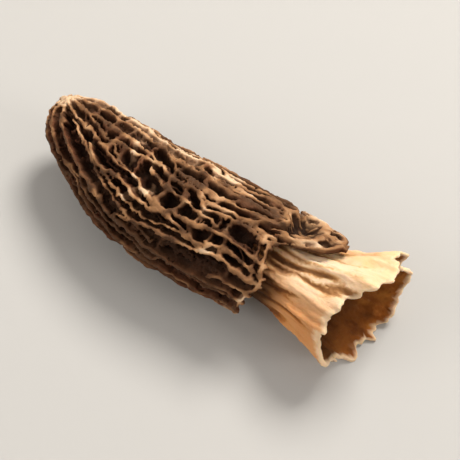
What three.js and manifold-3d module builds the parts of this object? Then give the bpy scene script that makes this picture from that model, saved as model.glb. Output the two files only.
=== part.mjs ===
// A dried morel mushroom, lying on its side. Millimetres, +Z up.
// The tip of the cap points along -X and the torn end of the hollow stem along +X.
// The cap, the stem and the chamber inside them are one grown piece.
import * as THREE from "three";
import { mergeVertices } from "three/addons/utils/BufferGeometryUtils.js";
import Module from "manifold-3d";

// ---- driving dimensions, measured from the tip along the mushroom's own axis ----
const CAP_LENGTH = 33.0; // tip to the mean line of the cap's free margin
const STEM_END = 45.2; // tip to the mean line of the torn stem end
const STEM_START = 27.0; // where the stem's own wall begins, inside the cap
const PIT_DEPTH = 1.7; // ridge crest to pit floor, mid cap
const STEM_WALL = 0.8; // thickness of the stem's fluted wall
const FLATTEN = 0.94; // height over width of the cross-section
const CAVITY_START = 5.0; // tip to the blind end of the chamber
const SKIRT_DEPTH = 2.6; // how far the groove under the cap's margin goes in
const REST = { turnX: -0.02316, turnY: -0.00604, shift: [-23.1728, -0.1714, -0.2136] }; // the small turns, in radians, and the move that lay it on its stable side, centred on the origin

// Cap radius at a distance from the tip.
const CAP_PROFILE = [
  [0, 0], [0.12, 0.93], [0.5, 1.85], [1.3, 2.85], [2.5, 3.65], [4, 4.35], [6.5, 5.2], [9.5, 6.0], [14, 6.75],
  [18.2, 7.12], [22, 7.25], [25, 7.22], [28, 7.1], [31, 6.9], [33, 6.6],
];
// Stem radius at a distance from the tip.
const STEM_PROFILE = [
  [27, 4.3], [30, 4.1], [33, 4.15], [35.5, 4.4], [37.7, 4.8], [40.6, 5.6], [42.7, 6.35], [45.2, 7.1], [47, 7.4],
];
// Radius of the chamber at a distance from the tip.
const CAVITY_PROFILE = [
  [5, 0], [5.2, 0.9], [6, 1.75], [8, 2.75], [11, 3.55], [15, 4.15], [20, 4.5], [24, 4.4], [27.5, 3.85], [30, 3.4],
  [33, 3.35],
];
// How far the axis bows sideways and how high it runs, at a distance from the tip.
const BOW_Y = [[-3, 1.75], [0, 1.35], [4, 0.7], [9.5, -0.35], [14, -1.0], [18, -1.25], [25, -0.95], [31, -0.45], [38, -0.1], [44, 0.6], [50, 1.2]];
const BOW_Z = [[-3, 7.4], [0, 7.1], [5, 6.78], [10, 6.52], [16, 6.38], [22, 6.5], [30, 6.62], [40, 6.5], [46, 6.4], [50, 6.4]];
const FLAT_FROM = 0.93, FLAT_KEEP = 0.3; // the side it dried on: below this share of the radius, the surface keeps this much of its drop

// ---- small helpers ----
const TAU = Math.PI * 2;
const clamp = (v, a, b) => Math.min(b, Math.max(a, v));
const smooth = (a, b, v) => {
  const t = clamp((v - a) / (b - a), 0, 1);
  return t * t * (3 - 2 * t);
};
// A repeatable value from 0 to 1 for each whole number.
function chance(seed) {
  let t = (seed + 0x6d2b79f5) | 0;
  t = Math.imul(t ^ (t >>> 15), t | 1);
  t ^= t + Math.imul(t ^ (t >>> 7), t | 61);
  return ((t ^ (t >>> 14)) >>> 0) / 4294967296;
}
// A smooth curve through a table of [position, value].
function curve(table) {
  const n = table.length;
  const slope = table.map((p, i) => {
    if (i === 0 || i === n - 1) {
      const [a, b] = i === 0 ? [table[0], table[1]] : [table[n - 2], table[n - 1]];
      return (b[1] - a[1]) / (b[0] - a[0]);
    }
    return (table[i + 1][1] - table[i - 1][1]) / (table[i + 1][0] - table[i - 1][0]);
  });
  return (x) => {
    const v = clamp(x, table[0][0], table[n - 1][0]);
    let i = 0;
    while (i < n - 2 && v > table[i + 1][0]) i++;
    const h = table[i + 1][0] - table[i][0];
    const t = (v - table[i][0]) / h;
    const t2 = t * t, t3 = t2 * t;
    return (2 * t3 - 3 * t2 + 1) * table[i][1] + (t3 - 2 * t2 + t) * h * slope[i] +
      (-2 * t3 + 3 * t2) * table[i + 1][1] + (t3 - t2) * h * slope[i + 1];
  };
}
const capRadius = curve(CAP_PROFILE);
const stemRadius = curve(STEM_PROFILE);
const cavityRadius = curve(CAVITY_PROFILE);
const bowY = curve(BOW_Y);
const bowZ = curve(BOW_Z);

// The line of the cap's free margin: uneven, with one lobe that reaches down over the stem.
const LOBE_ANGLE = 1.0, LOBE_HALF = 0.5, LOBE_LENGTH = 6.6, LOBE_LIFT = 0.5;
function angleFrom(u, centre) {
  return Math.atan2(Math.sin(u - centre), Math.cos(u - centre));
}
function lobe(u) {
  const a = angleFrom(u, LOBE_ANGLE) / LOBE_HALF;
  return Math.exp(-a * a * a * a);
}
function marginAt(u) {
  const low = angleFrom(u, -2.1) / 0.8, high = angleFrom(u, 2.3) / 1.0;
  return CAP_LENGTH - 0.3 + 0.45 * Math.sin(2 * u + 0.6) + 0.3 * Math.sin(5 * u + 2.1) - 0.6 * lobe(u + 0.9) - 1.3 * Math.exp(-low * low) + 2.6 * Math.exp(-high * high) + LOBE_LENGTH * lobe(u);
}
// The torn line of the stem's end: how far it is from the tip at these angles in degrees.
const TORN_END = [
  [-180, 43.2], [-158, 44.8], [-138, 44.1], [-121, 44.4], [-111, 45.8], [-98, 45.1], [-84, 45.9], [-70, 45.6], [-56, 46.4], [-42, 46.1],
  [-28, 46.0], [-12, 46.2], [6, 45.2], [20, 45.2], [33, 44.9], [48, 45.0], [62, 45.9], [76, 46.3], [90, 45.6], [103, 44.4], [114, 42.8],
  [124, 43.4], [134, 42.4], [148, 42.9], [163, 42.2], [180, 43.2],
];
const tornEnd = curve(TORN_END);
function stemEndAt(u) {
  return tornEnd((angleFrom(u, 0) * 180) / Math.PI);
}
// Flutes that run along the stem and deepen towards its end.
function flute(u, x) {
  const grow = 0.35 + 0.65 * smooth(31, 45, x);
  const drift = 0.06 * (x - 38);
  const curl = angleFrom(u, 0.55) / 0.35;
  return 1.0 * Math.exp(-curl * curl) * smooth(40.5, 46, x) + grow * (0.22 * Math.cos(4 * u + 0.7 + drift) + 0.26 * Math.cos(7 * u + 2.2 - drift) + 0.26 * Math.cos(11 * u + 1.1 + drift));
}

// The main ridges, one row each: the angle in degrees at the stations below, where the first station is the tip and the
// last one the margin. They wind round the cap a little.
const STATIONS = [0, 0.15, 0.3, 0.45, 0.6, 0.75, 0.9, 1];
const RIDGE_TRACKS = [
  [22, 31, 38, 41, 48, 52, 57, 60],
  [48, 53, 58, 57, 66, 70, 74, 79],
  [72, 75, 78, 74, 85, 91, 93, 100],
  [93, 95, 97, 104, 113, 127, 137, 143],
  [104, 108, 117, 124, 136, 142, 151, 155],
  [116, 121, 135, 149, 157, 163, 167, 170],
  [142, 149, 159, 170, 178, 184, 189, 192],
  [166, 172, 182, 191, 199, 205, 210, 213],
  [190, 197, 206, 213, 218, 222, 227, 231],
  [215, 221, 229, 235, 238, 240, 244, 248],
  [238, 244, 253, 259, 261, 262, 264, 268],
  [262, 268, 278, 285, 287, 288, 290, 294],
  [286, 292, 300, 306, 309, 312, 316, 321],
  [310, 315, 324, 330, 335, 341, 345, 350],
  [333, 339, 347, 354, 360, 366, 371, 375],
  [356, 362, 371, 377, 385, 393, 397, 401],
];
const RIDGES = RIDGE_TRACKS.length;
const tracks = RIDGE_TRACKS.map((row) => curve(row.map((angle, i) => [STATIONS[i], (angle * Math.PI) / 180])));
// The angle of main ridge k at s, its distance along the cap from tip to margin from 0 to 1.
function ridgeAngle(k, s) {
  const wave = 0.06 * Math.sin(TAU * (s * 4.6 + chance(k + 57))) * smooth(0.05, 0.25, s);
  return tracks[k](s) + wave * 0.4;
}
// Cross ridges between main ridge k and the next: where each one is, how far it slants and how high it stands.
const CROSS_AT = {
  0: [0.11, 0.2, 0.29, 0.37, 0.45, 0.53, 0.6, 0.67, 0.735, 0.79, 0.855, 0.93],
  1: [0.13, 0.245, 0.35, 0.42, 0.535, 0.64, 0.735, 0.81, 0.87, 0.95],
  2: [0.12, 0.245, 0.325, 0.395, 0.445, 0.53, 0.64, 0.7, 0.775, 0.825, 0.875, 0.96],
  3: [0.2, 0.345, 0.43, 0.5, 0.565, 0.645, 0.705, 0.79, 0.87, 0.955],
  4: [0.18, 0.36, 0.505, 0.585, 0.635, 0.76, 0.85, 0.905, 0.96],
  5: [0.1, 0.185, 0.3, 0.385, 0.47, 0.59, 0.66, 0.73, 0.82, 0.91],
};
const crossRidges = [];
for (let k = 0; k < RIDGES; k++) {
  const list = [];
  const add = (s, j) => list.push([s, (chance(k * 97 + j * 13 + 3) - 0.5) * 0.065, 0.65 + 0.35 * chance(k * 71 + j * 29 + 17)]);
  if (CROSS_AT[k]) CROSS_AT[k].forEach(add);
  else for (let j = 0, s = 0.07 + 0.09 * chance(k * 31 + 5); s < 0.985; j++) {
    add(s, j);
    s += 0.068 + 0.085 * chance(k * 53 + j * 7 + 1);
  }
  crossRidges.push(list);
}
// How deep the surface lies under the envelope. q goes from 0 on main ridge k to 1 on the next.
function pitDepth(k, q, s) {
  const across = smooth(0, 0.22, Math.min(q, 1 - q));
  let along = 1;
  for (const [at, slant, height] of crossRidges[k]) {
    const d = Math.abs(s - at - slant * (q - 0.5)) / 0.0165;
    along = Math.min(along, 1 - height * clamp(1 - 0.62 * d, 0, 1));
  }
  const whole = PIT_DEPTH * (0.3 + 0.7 * smooth(0.02, 0.3, s)) * (0.55 + 0.45 * smooth(1.0, 0.9, s));
  return whole * across * along;
}

// ---- closed solids of revolution, shaped point by point ----
const wasm = await Module();
wasm.setup();

function solidFrom(geometry) {
  geometry.deleteAttribute("normal");
  geometry.deleteAttribute("uv");
  const merged = mergeVertices(geometry, 1e-4);
  const index = new Uint32Array(merged.index.array);
  const p = merged.attributes.position;
  // Drop faces that the merging has closed up, and turn the rest to face out.
  const kept = [];
  for (let i = 0; i < index.length; i += 3) {
    const [a, b, c] = [index[i], index[i + 1], index[i + 2]];
    if (a !== b && b !== c && a !== c) kept.push(a, b, c);
  }
  let volume = 0;
  const A = new THREE.Vector3(), B = new THREE.Vector3(), C = new THREE.Vector3();
  for (let i = 0; i < kept.length; i += 3) {
    A.fromBufferAttribute(p, kept[i]);
    B.fromBufferAttribute(p, kept[i + 1]);
    C.fromBufferAttribute(p, kept[i + 2]);
    volume += A.dot(B.clone().cross(C));
  }
  if (volume < 0) for (let i = 0; i < kept.length; i += 3) [kept[i + 1], kept[i + 2]] = [kept[i + 2], kept[i + 1]];
  return new wasm.Manifold(new wasm.Mesh({
    numProp: 3,
    vertProperties: new Float32Array(p.array),
    triVerts: new Uint32Array(kept),
  }));
}
// Height over the axis of a point at radius r and angle u, on a body whose outer radius there is outer.
function heightOf(r, u, outer) {
  const z = FLATTEN * r * Math.sin(u), limit = FLAT_FROM * FLATTEN * outer;
  return z < -limit ? -limit + (z + limit) * FLAT_KEEP : z;
}
// Turns a profile of [x along the axis, radius] into a lathe form, then moves each of its points with shape(i, j, x, r, u),
// which gives [x, radius, angle] in the mushroom's own axis frame.
function latheSolid(profile, segments, outer, shape) {
  const geometry = new THREE.LatheGeometry(profile.map(([x, r]) => new THREE.Vector2(r, x)), segments);
  const p = geometry.attributes.position;
  const rows = profile.length;
  for (let i = 0; i <= segments; i++) {
    for (let j = 0; j < rows; j++) {
      const [x0, r0] = profile[j];
      const [x, r, u] = shape(i % segments, j, x0, r0, (TAU * (i % segments)) / segments);
      p.setXYZ(i * rows + j, x, bowY(x) + r * Math.cos(u), bowZ(x) + heightOf(r, u, outer(x)));
    }
  }
  return solidFrom(geometry);
}

// Cap: evenly spaced rows along the outline, from the tip to the margin, then back in under the margin.
const outline = new THREE.SplineCurve(CAP_PROFILE.map(([x, r]) => new THREE.Vector2(x, r)));
const CAP_ROWS = 50;
const capRows = outline.getSpacedPoints(CAP_ROWS).map((v) => [v.x, Math.max(0, v.y)]);
capRows[0] = [0, 0];
const underRows = [[CAP_LENGTH - 0.1, 5.95], [CAP_LENGTH - 0.9, 5.55], [CAP_LENGTH - SKIRT_DEPTH, 4.75], [CAP_LENGTH - SKIRT_DEPTH - 0.3, 2.2], [CAP_LENGTH - SKIRT_DEPTH - 0.3, 0]];
const STEPS = 4; // columns to each main ridge
const cap = latheSolid([...capRows, ...underRows], RIDGES * STEPS, capRadius, (i, j, x, r) => {
  const s = Math.min(1, j / CAP_ROWS);
  const k = Math.floor(i / STEPS), q = (i % STEPS) / STEPS;
  const a = ridgeAngle(k, s), b = ridgeAngle((k + 1) % RIDGES, s) + (k + 1 === RIDGES ? TAU : 0);
  const u = a + (b - a) * q;
  const reach = marginAt(u) - CAP_LENGTH;
  if (j > CAP_ROWS) {
    const n = j - CAP_ROWS; // the underside: it follows the margin's line, and the groove's floor doesn't
    const follow = n === 1 ? 1 : n === 2 ? 0.97 : n === 3 ? 0.5 * smooth(0, 2.5, reach) + 0.2 : 0;
    const lift = n <= 2 ? 0.35 * Math.cos(u + 2.2) : 0;
    return [x + reach * follow, Math.max(0, r + lift * (r > 1 ? 1 : 0) + 0.6 * LOBE_LIFT * lobe(u) * (n <= 3 ? 1 : 0)), u];
  }
  const shift = reach * smooth(0.72, 1, s);
  const depth = j === CAP_ROWS ? 0.15 : pitDepth(k, q, s);
  // Points sink along the outline's own normal, so that the tip keeps its pits.
  const before = capRows[Math.max(0, j - 1)], after = capRows[Math.min(CAP_ROWS, j + 1)];
  const tangent = new THREE.Vector2(after[0] - before[0], after[1] - before[1]).normalize();
  const lift = (j > CAP_ROWS * 0.9 ? 0.35 * Math.cos(u + 2.2) * smooth(0.9, 1, s) : 0) + LOBE_LIFT * lobe(u) * smooth(0.84, 0.97, s);
  if (r < 1e-6) return [x, 0, u];
  return [x + shift + depth * tangent.y, Math.max(0.05, r + lift - depth * tangent.x), u];
});

// Stem: a fluted trumpet with a torn end.
const STEM_ROWS = 15, STEM_COLUMNS = 48;
const stemProfile = [[STEM_START, 0]];
for (let j = 0; j <= STEM_ROWS; j++) {
  const x = STEM_START + ((STEM_END - STEM_START) * j) / STEM_ROWS;
  stemProfile.push([x, stemRadius(x)]);
}
stemProfile.push([STEM_END, 0]);
const stem = latheSolid(stemProfile, STEM_COLUMNS, stemRadius, (i, j, x, r, u) => {
  const reach = (stemEndAt(u) - STEM_END) * smooth(36, STEM_END, x);
  if (r < 1e-6) return [x, 0, 0];
  return [x + reach, r + flute(u, x), u];
});

// Chamber: one hollow from near the tip to the torn end, which it leaves open.
const CAVITY_COLUMNS = 24;
const cavityProfile = [];
for (const x of [5, 5.25, 6.2, 8.5, 12, 16, 20, 24, 28, 31, 33]) cavityProfile.push([x, x === 5 ? 0 : cavityRadius(x)]);
for (const x of [35, 37, 39, 41, 43, 45, 47, 49]) cavityProfile.push([x, stemRadius(x) - STEM_WALL + Math.max(0, x - STEM_END) * 0.25]);
cavityProfile.push([49, 0]);
const cavity = latheSolid(cavityProfile, CAVITY_COLUMNS * 2, (x) => 0.97 * (x > 31 ? stemRadius(x) : capRadius(x)), (i, j, x, r, u) => {
  if (r < 1e-6) return [x, 0, 0];
  return [x, x > 31 ? r + flute(u, Math.min(x, 48)) * smooth(30, 36, x) * 0.92 : r, u];
});

const joined = cap.add(stem).subtract(cavity);
const made = joined.getMesh();

const geometry = new THREE.BufferGeometry();
geometry.setAttribute("position", new THREE.BufferAttribute(new Float32Array(made.vertProperties), 3));
geometry.setIndex(new THREE.BufferAttribute(new Uint32Array(made.triVerts), 1));
geometry.rotateY(REST.turnY);
geometry.rotateX(REST.turnX);
geometry.translate(...REST.shift);
geometry.computeVertexNormals();

const flesh = new THREE.MeshStandardMaterial({ color: new THREE.Color(0.16, 0.1, 0.062), roughness: 0.85, metalness: 0 });
const morel = new THREE.Mesh(geometry, flesh);
morel.name = "morel_mushroom";

const group = new THREE.Group();
group.add(morel);
export default group;
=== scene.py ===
# A dried morel mushroom, lying on its side. Metres in the scene; the shape is worked out in millimetres.
# The skin is found as the zero level of one volume: the ridged cap, the fluted stem, and the hollow inside them.
import math
import time

import bpy
import numpy as np
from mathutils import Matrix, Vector


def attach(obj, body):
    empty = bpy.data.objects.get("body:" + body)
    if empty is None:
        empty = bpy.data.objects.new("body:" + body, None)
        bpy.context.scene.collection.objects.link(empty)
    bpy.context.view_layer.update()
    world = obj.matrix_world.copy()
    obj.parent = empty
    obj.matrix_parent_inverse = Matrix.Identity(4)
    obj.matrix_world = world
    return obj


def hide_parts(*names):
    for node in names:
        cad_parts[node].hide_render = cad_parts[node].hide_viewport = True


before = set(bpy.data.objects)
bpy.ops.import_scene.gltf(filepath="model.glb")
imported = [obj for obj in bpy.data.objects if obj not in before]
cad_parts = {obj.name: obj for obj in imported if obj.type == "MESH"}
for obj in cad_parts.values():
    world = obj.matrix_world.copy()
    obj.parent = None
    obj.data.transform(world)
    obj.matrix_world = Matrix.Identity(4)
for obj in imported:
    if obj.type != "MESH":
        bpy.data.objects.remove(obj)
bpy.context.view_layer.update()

START = time.time()
TAU = 2 * math.pi
F = np.float32

# ---------------------------------------------------------------- the mushroom's axis frame, the same as the solid's
CAP_LENGTH = 33.0
STEM_END = 45.2
STEM_WALL = 0.66
FLATTEN = 0.94
FLAT_FROM, FLAT_KEEP = 0.93, 0.3
TURN_X, TURN_Y, SHIFT = -0.02316, -0.00604, np.array([-23.1728, -0.1714, -0.2136])
CAP_PROFILE = [
    [0, 0], [0.12, 0.93], [0.5, 1.85], [1.3, 2.85], [2.5, 3.65], [4, 4.35], [6.5, 5.2], [9.5, 6.0], [14, 6.75],
    [18.2, 7.12], [22, 7.25], [25, 7.22], [28, 7.1], [31, 6.9], [33, 6.6],
]
STEM_PROFILE = [
    [27, 4.3], [30, 4.1], [33, 4.15], [35.5, 4.4], [37.7, 4.8], [40.6, 5.6], [42.7, 6.35], [45.2, 7.1], [47, 7.4],
]
CAVITY_PROFILE = [
    [5, 0], [5.2, 0.9], [6, 1.75], [8, 2.75], [11, 3.55], [15, 4.15], [20, 4.5], [24, 4.4], [27.5, 3.85], [30, 3.4],
    [33, 3.35],
]
BOW_Y = [[-3, 1.75], [0, 1.35], [4, 0.7], [9.5, -0.35], [14, -1.0], [18, -1.25], [25, -0.95], [31, -0.45], [38, -0.1], [44, 0.6], [50, 1.2]]
BOW_Z = [[-3, 7.4], [0, 7.1], [5, 6.78], [10, 6.52], [16, 6.38], [22, 6.5], [30, 6.62], [40, 6.5], [46, 6.4], [50, 6.4]]
STATIONS = [0, 0.15, 0.3, 0.45, 0.6, 0.75, 0.9, 1]
RIDGE_TRACKS = [
    [22, 31, 38, 41, 48, 52, 57, 60],
    [48, 53, 58, 57, 66, 70, 74, 79],
    [72, 75, 78, 74, 85, 91, 93, 100],
    [93, 95, 97, 104, 113, 127, 137, 143],
    [104, 108, 117, 124, 136, 142, 151, 155],
    [116, 121, 135, 149, 157, 163, 167, 170],
    [142, 149, 159, 170, 178, 184, 189, 192],
    [166, 172, 182, 191, 199, 205, 210, 213],
    [190, 197, 206, 213, 218, 222, 227, 231],
    [215, 221, 229, 235, 238, 240, 244, 248],
    [238, 244, 253, 259, 261, 262, 264, 268],
    [262, 268, 278, 285, 287, 288, 290, 294],
    [286, 292, 300, 306, 309, 312, 316, 321],
    [310, 315, 324, 330, 335, 341, 345, 350],
    [333, 339, 347, 354, 360, 366, 371, 375],
    [356, 362, 371, 377, 385, 393, 397, 401],
]
RIDGES = len(RIDGE_TRACKS)
LOBE_ANGLE, LOBE_HALF, LOBE_LENGTH, LOBE_LIFT = 1.0, 0.5, 6.6, 0.6
TORN_END = [
    [-180, 43.2], [-158, 44.8], [-138, 44.1], [-121, 44.4], [-111, 45.8], [-98, 45.1], [-84, 45.9], [-70, 45.6], [-56, 46.4], [-42, 46.1],
    [-28, 46.0], [-12, 46.2], [6, 45.2], [20, 45.2], [33, 44.9], [48, 45.0], [62, 45.9], [76, 46.3], [90, 45.6], [103, 44.4], [114, 42.8],
    [124, 43.4], [134, 42.4], [148, 42.9], [163, 42.2], [180, 43.2],
]


def curve(table):
    t = np.array(table, float)
    px, py = t[:, 0], t[:, 1]
    n = len(px)
    slope = np.empty(n)
    slope[0] = (py[1] - py[0]) / (px[1] - px[0])
    slope[-1] = (py[-1] - py[-2]) / (px[-1] - px[-2])
    slope[1:-1] = (py[2:] - py[:-2]) / (px[2:] - px[:-2])

    def value(x):
        v = np.clip(x, px[0], px[-1])
        i = np.clip(np.searchsorted(px, v, side="left") - 1, 0, n - 2)
        h = px[i + 1] - px[i]
        q = (v - px[i]) / h
        q2, q3 = q * q, q * q * q
        return ((2 * q3 - 3 * q2 + 1) * py[i] + (q3 - 2 * q2 + q) * h * slope[i]
                + (-2 * q3 + 3 * q2) * py[i + 1] + (q3 - q2) * h * slope[i + 1])
    return value


def tabled(fn, lo, hi, n=2048):
    xs = np.linspace(lo, hi, n)
    ys = fn(xs)
    return lambda x: np.interp(x, xs, ys).astype(F)


cap_radius, stem_radius, cavity_radius = curve(CAP_PROFILE), curve(STEM_PROFILE), curve(CAVITY_PROFILE)
bow_y, bow_z, torn_end = curve(BOW_Y), curve(BOW_Z), curve(TORN_END)
tracks = [curve([[s, math.radians(a)] for s, a in zip(STATIONS, row)]) for row in RIDGE_TRACKS]


def smooth(a, b, v):
    t = np.clip((v - a) / (b - a), 0, 1)
    return t * t * (3 - 2 * t)


def join(a, b, k):  # a rounded union
    h = np.clip(0.5 + 0.5 * (b - a) / k, 0, 1)
    return b + (a - b) * h - k * h * (1 - h)


def cut(a, b, k):  # a rounded intersection
    return -join(-a, -b, k)


def chance(seed):
    m = 0xFFFFFFFF

    def imul(a, b):
        return (a * b) & m
    t = (seed + 0x6D2B79F5) & m
    t = imul(t ^ (t >> 15), t | 1)
    t ^= (t + imul(t ^ (t >> 7), t | 61)) & m
    return ((t ^ (t >> 14)) & m) / 4294967296


def angle_from(u, centre):
    return np.arctan2(np.sin(u - centre), np.cos(u - centre))


def lobe(u):
    a = angle_from(u, LOBE_ANGLE) / LOBE_HALF
    return np.exp(-a ** 4)


def margin_reach(u):
    low, high = angle_from(u, -2.1) / 0.8, angle_from(u, 2.3) / 1.0
    return (-0.3 + 0.45 * np.sin(2 * u + 0.6) + 0.3 * np.sin(5 * u + 2.1) - 0.6 * lobe(u + 0.9)
            - 1.3 * np.exp(-low * low) + 2.6 * np.exp(-high * high) + LOBE_LENGTH * lobe(u))


def stem_end(u):
    return torn_end(np.degrees(angle_from(u, 0)))


def flute(u, x):
    grow = 0.35 + 0.65 * smooth(31, 45, x)
    drift = 0.06 * (x - 38)
    curl = angle_from(u, 0.55) / 0.35
    return (1.0 * np.exp(-curl * curl) * smooth(40.5, 46, x)
            + grow * (0.22 * np.cos(4 * u + 0.7 + drift) + 0.26 * np.cos(7 * u + 2.2 - drift)
                      + 0.26 * np.cos(11 * u + 1.1 + drift)))


# ---------------------------------------------------------------- the cap's outline: distance along it and depth under it
ox = np.concatenate([np.linspace(0, 1, 240) ** 2 * 3, np.linspace(3, CAP_LENGTH, 500)[1:]])
orad = np.maximum(cap_radius(ox), 0)
orad[0] = 0
oarc = np.concatenate([[0], np.cumsum(np.hypot(np.diff(ox), np.diff(orad)))])
ARC = oarc[-1]


def at_arc(t):
    return np.interp(t, oarc, ox), np.interp(t, oarc, orad)


def skin_point(s, u):
    """A point of the cap's envelope, before it is bowed: x along the axis, y and z across it."""
    x, r = at_arc(np.clip(s, 0, 1) * ARC)
    return np.stack([x + (np.maximum(s, 1) - 1) * ARC, r * np.cos(u), r * np.sin(u)], -1)


# Tables over (x, radius): s, and the depth under the envelope, positive inside it.
TX0, TX1, TR1, TSTEP = -1.0, 36.0, 9.6, 0.1
tx = np.arange(TX0, TX1 + 1e-6, TSTEP)
tr = np.arange(0, TR1 + 1e-6, TSTEP)
gx, gr = np.meshgrid(tx, tr, indexing="ij")
near_d = np.full(gx.shape, 1e9)
near_s = np.zeros(gx.shape)
for i in range(len(ox) - 1):
    ax, ar, bx, br = ox[i], orad[i], ox[i + 1], orad[i + 1]
    ll = (bx - ax) ** 2 + (br - ar) ** 2
    q = np.clip(((gx - ax) * (bx - ax) + (gr - ar) * (br - ar)) / ll, 0, 1)
    d = np.hypot(gx - ax - q * (bx - ax), gr - ar - q * (br - ar))
    closer = d < near_d
    near_d[closer] = d[closer]
    near_s[closer] = ((oarc[i] + q * (oarc[i + 1] - oarc[i])) / ARC)[closer]
# Past the margin the outline runs straight on, so that the depth stays smooth there.
past = gx > CAP_LENGTH
slope_end = (orad[-1] - orad[-2]) / (ox[-1] - ox[-2])
line = orad[-1] + slope_end * (gx - CAP_LENGTH)
inside = np.where(past, gr < line, (gx > 0) & (gr < cap_radius(gx)))
near_d = np.where(past, np.abs(gr - line), near_d)
near_s = np.where(past, 1 + (gx - CAP_LENGTH) / ARC, near_s)
T_DEPTH = np.where(inside, near_d, -near_d).astype(F)
T_S = near_s.astype(F)
# The uneven margin: x before the shift, over (reach, x).
rr = np.arange(-3, 9.31, 0.1)
xx = np.arange(-3, 52.01, 0.1)
T_BACK = np.empty((len(rr), len(xx)), F)
base = np.concatenate([[-5.0], ox, [CAP_LENGTH + 25]])
share = np.concatenate([[0.0], smooth(0.72, 1, oarc / ARC), [1.0]])
for i, reach in enumerate(rr):
    T_BACK[i] = np.interp(xx, base + reach * share, base)


def look2(table, a, b, wrap_b=False):
    """Bilinear reading of a table at fractional indices a, b."""
    n, m = table.shape
    a = np.clip(a, 0, n - 1.001)
    i = a.astype(np.int32)
    fa = (a - i).astype(F)
    if wrap_b:
        j0 = np.floor(b)
        fb = (b - j0).astype(F)
        j = j0.astype(np.int32) % m
        j1 = (j + 1) % m
    else:
        b = np.clip(b, 0, m - 1.001)
        j = b.astype(np.int32)
        fb = (b - j).astype(F)
        j1 = j + 1
    flat = table.ravel()
    r0, r1 = i * m, (i + 1) * m
    return ((flat[r0 + j] * (1 - fb) + flat[r0 + j1] * fb) * (1 - fa)
            + (flat[r1 + j] * (1 - fb) + flat[r1 + j1] * fb) * fa)


# ---------------------------------------------------------------- the pattern of ridges over the cap's skin
S_LO, S_HI = -0.01, 1.09
NS, NU = 460, 560
map_s = np.linspace(S_LO, S_HI, NS)
map_u = np.arange(NU) * TAU / NU
ms, mu = np.meshgrid(map_s, map_u, indexing="ij")
map_p = skin_point(np.clip(ms, 0, 1.2), mu)
MAP_SIZE = ((S_HI - S_LO) * ARC, TAU * 6.3)  # mm


def band(wave, seed, stretch=1.0, spread=0.38):
    """Noise of one wavelength in mm over the map, longer along the cap by stretch; its standard deviation is 1."""
    w = np.random.default_rng(seed).standard_normal((NS, NU))
    fa = np.fft.fftfreq(NS, MAP_SIZE[0] / NS)[:, None] * stretch
    fb = np.fft.rfftfreq(NU, MAP_SIZE[1] / NU)[None, :]
    f = np.hypot(fa, fb)
    k = np.exp(-(np.log(np.maximum(f, 1e-6) * wave) ** 2) / (2 * spread * spread))
    n = np.fft.irfft2(np.fft.rfft2(w) * k, s=(NS, NU))
    return (n / n.std()).astype(F)


def to_map(s, u):
    return (s - S_LO) / (S_HI - S_LO) * (NS - 1), u / TAU * NU


def look(table, s, u):
    a, b = to_map(s, u)
    return look2(table, a, b, True)


class Lines:
    """Distance over the skin to the nearest of many lines, and that line's crest depth and half thickness."""

    def __init__(self):
        self.d = np.full((NS, NU), 9.0)
        self.c = np.zeros((NS, NU))
        self.w = np.full((NS, NU), 0.25)

    def add(self, pts, crest, half, reach=2.6):
        """pts: rows of (s, u). crest and half: one number, or one for each row."""
        pts = np.asarray(pts, float)
        n = len(pts)
        crest = np.broadcast_to(np.asarray(crest, float), (n,))
        half = np.broadcast_to(np.asarray(half, float), (n,))
        p3 = skin_point(pts[:, 0], pts[:, 1])
        for i in range(n - 1):
            a, b = p3[i], p3[i + 1]
            s0, s1 = sorted((pts[i, 0], pts[i + 1, 0]))
            lo = int(max(0, (s0 - reach / ARC - S_LO) / (S_HI - S_LO) * (NS - 1)))
            hi = int(min(NS, (s1 + reach / ARC - S_LO) / (S_HI - S_LO) * (NS - 1) + 2))
            r = at_arc(max(0.0, s0 - reach / ARC) * ARC)[1]
            if r < 3.2:
                cols = np.arange(NU)
            else:
                u0, u1 = sorted((pts[i, 1], pts[i + 1, 1]))
                c0 = int(math.floor((u0 - reach / r) / TAU * NU))
                c1 = int(math.ceil((u1 + reach / r) / TAU * NU)) + 1
                cols = np.arange(c0, min(c1, c0 + NU)) % NU
            sub = np.ix_(np.arange(lo, hi), cols)
            p = map_p[sub]
            ab = b - a
            q = np.clip(((p - a) @ ab) / max(ab @ ab, 1e-9), 0, 1)
            d = np.linalg.norm(p - a - q[..., None] * ab, axis=-1)
            old = self.d[sub]
            m = d < old
            self.d[sub] = np.where(m, d, old)
            self.c[sub] = np.where(m, crest[i] + (crest[i + 1] - crest[i]) * q, self.c[sub])
            self.w[sub] = np.where(m, half[i] + (half[i + 1] - half[i]) * q, self.w[sub])

    def tables(self):
        return self.d.astype(F), blur(self.c, 1), blur(self.w, 1)


def blur(t, times):
    t = np.asarray(t, float)
    for _ in range(times):
        t = (np.roll(t, 1, 1) + 2 * t + np.roll(t, -1, 1)) / 4
        e = np.concatenate([t[:1], t, t[-1:]])
        t = (e[:-2] + 2 * e[1:-1] + e[2:]) / 4
    return t.astype(F)


def polar(s, u):
    return np.array([s * ARC * math.cos(u), s * ARC * math.sin(u)])


KNOT_S, KNOT_U = 0.112, math.radians(68)  # where the ridges gather, a little to one side of the tip
knot = polar(KNOT_S, KNOT_U)
JOIN_S = 0.25


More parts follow.
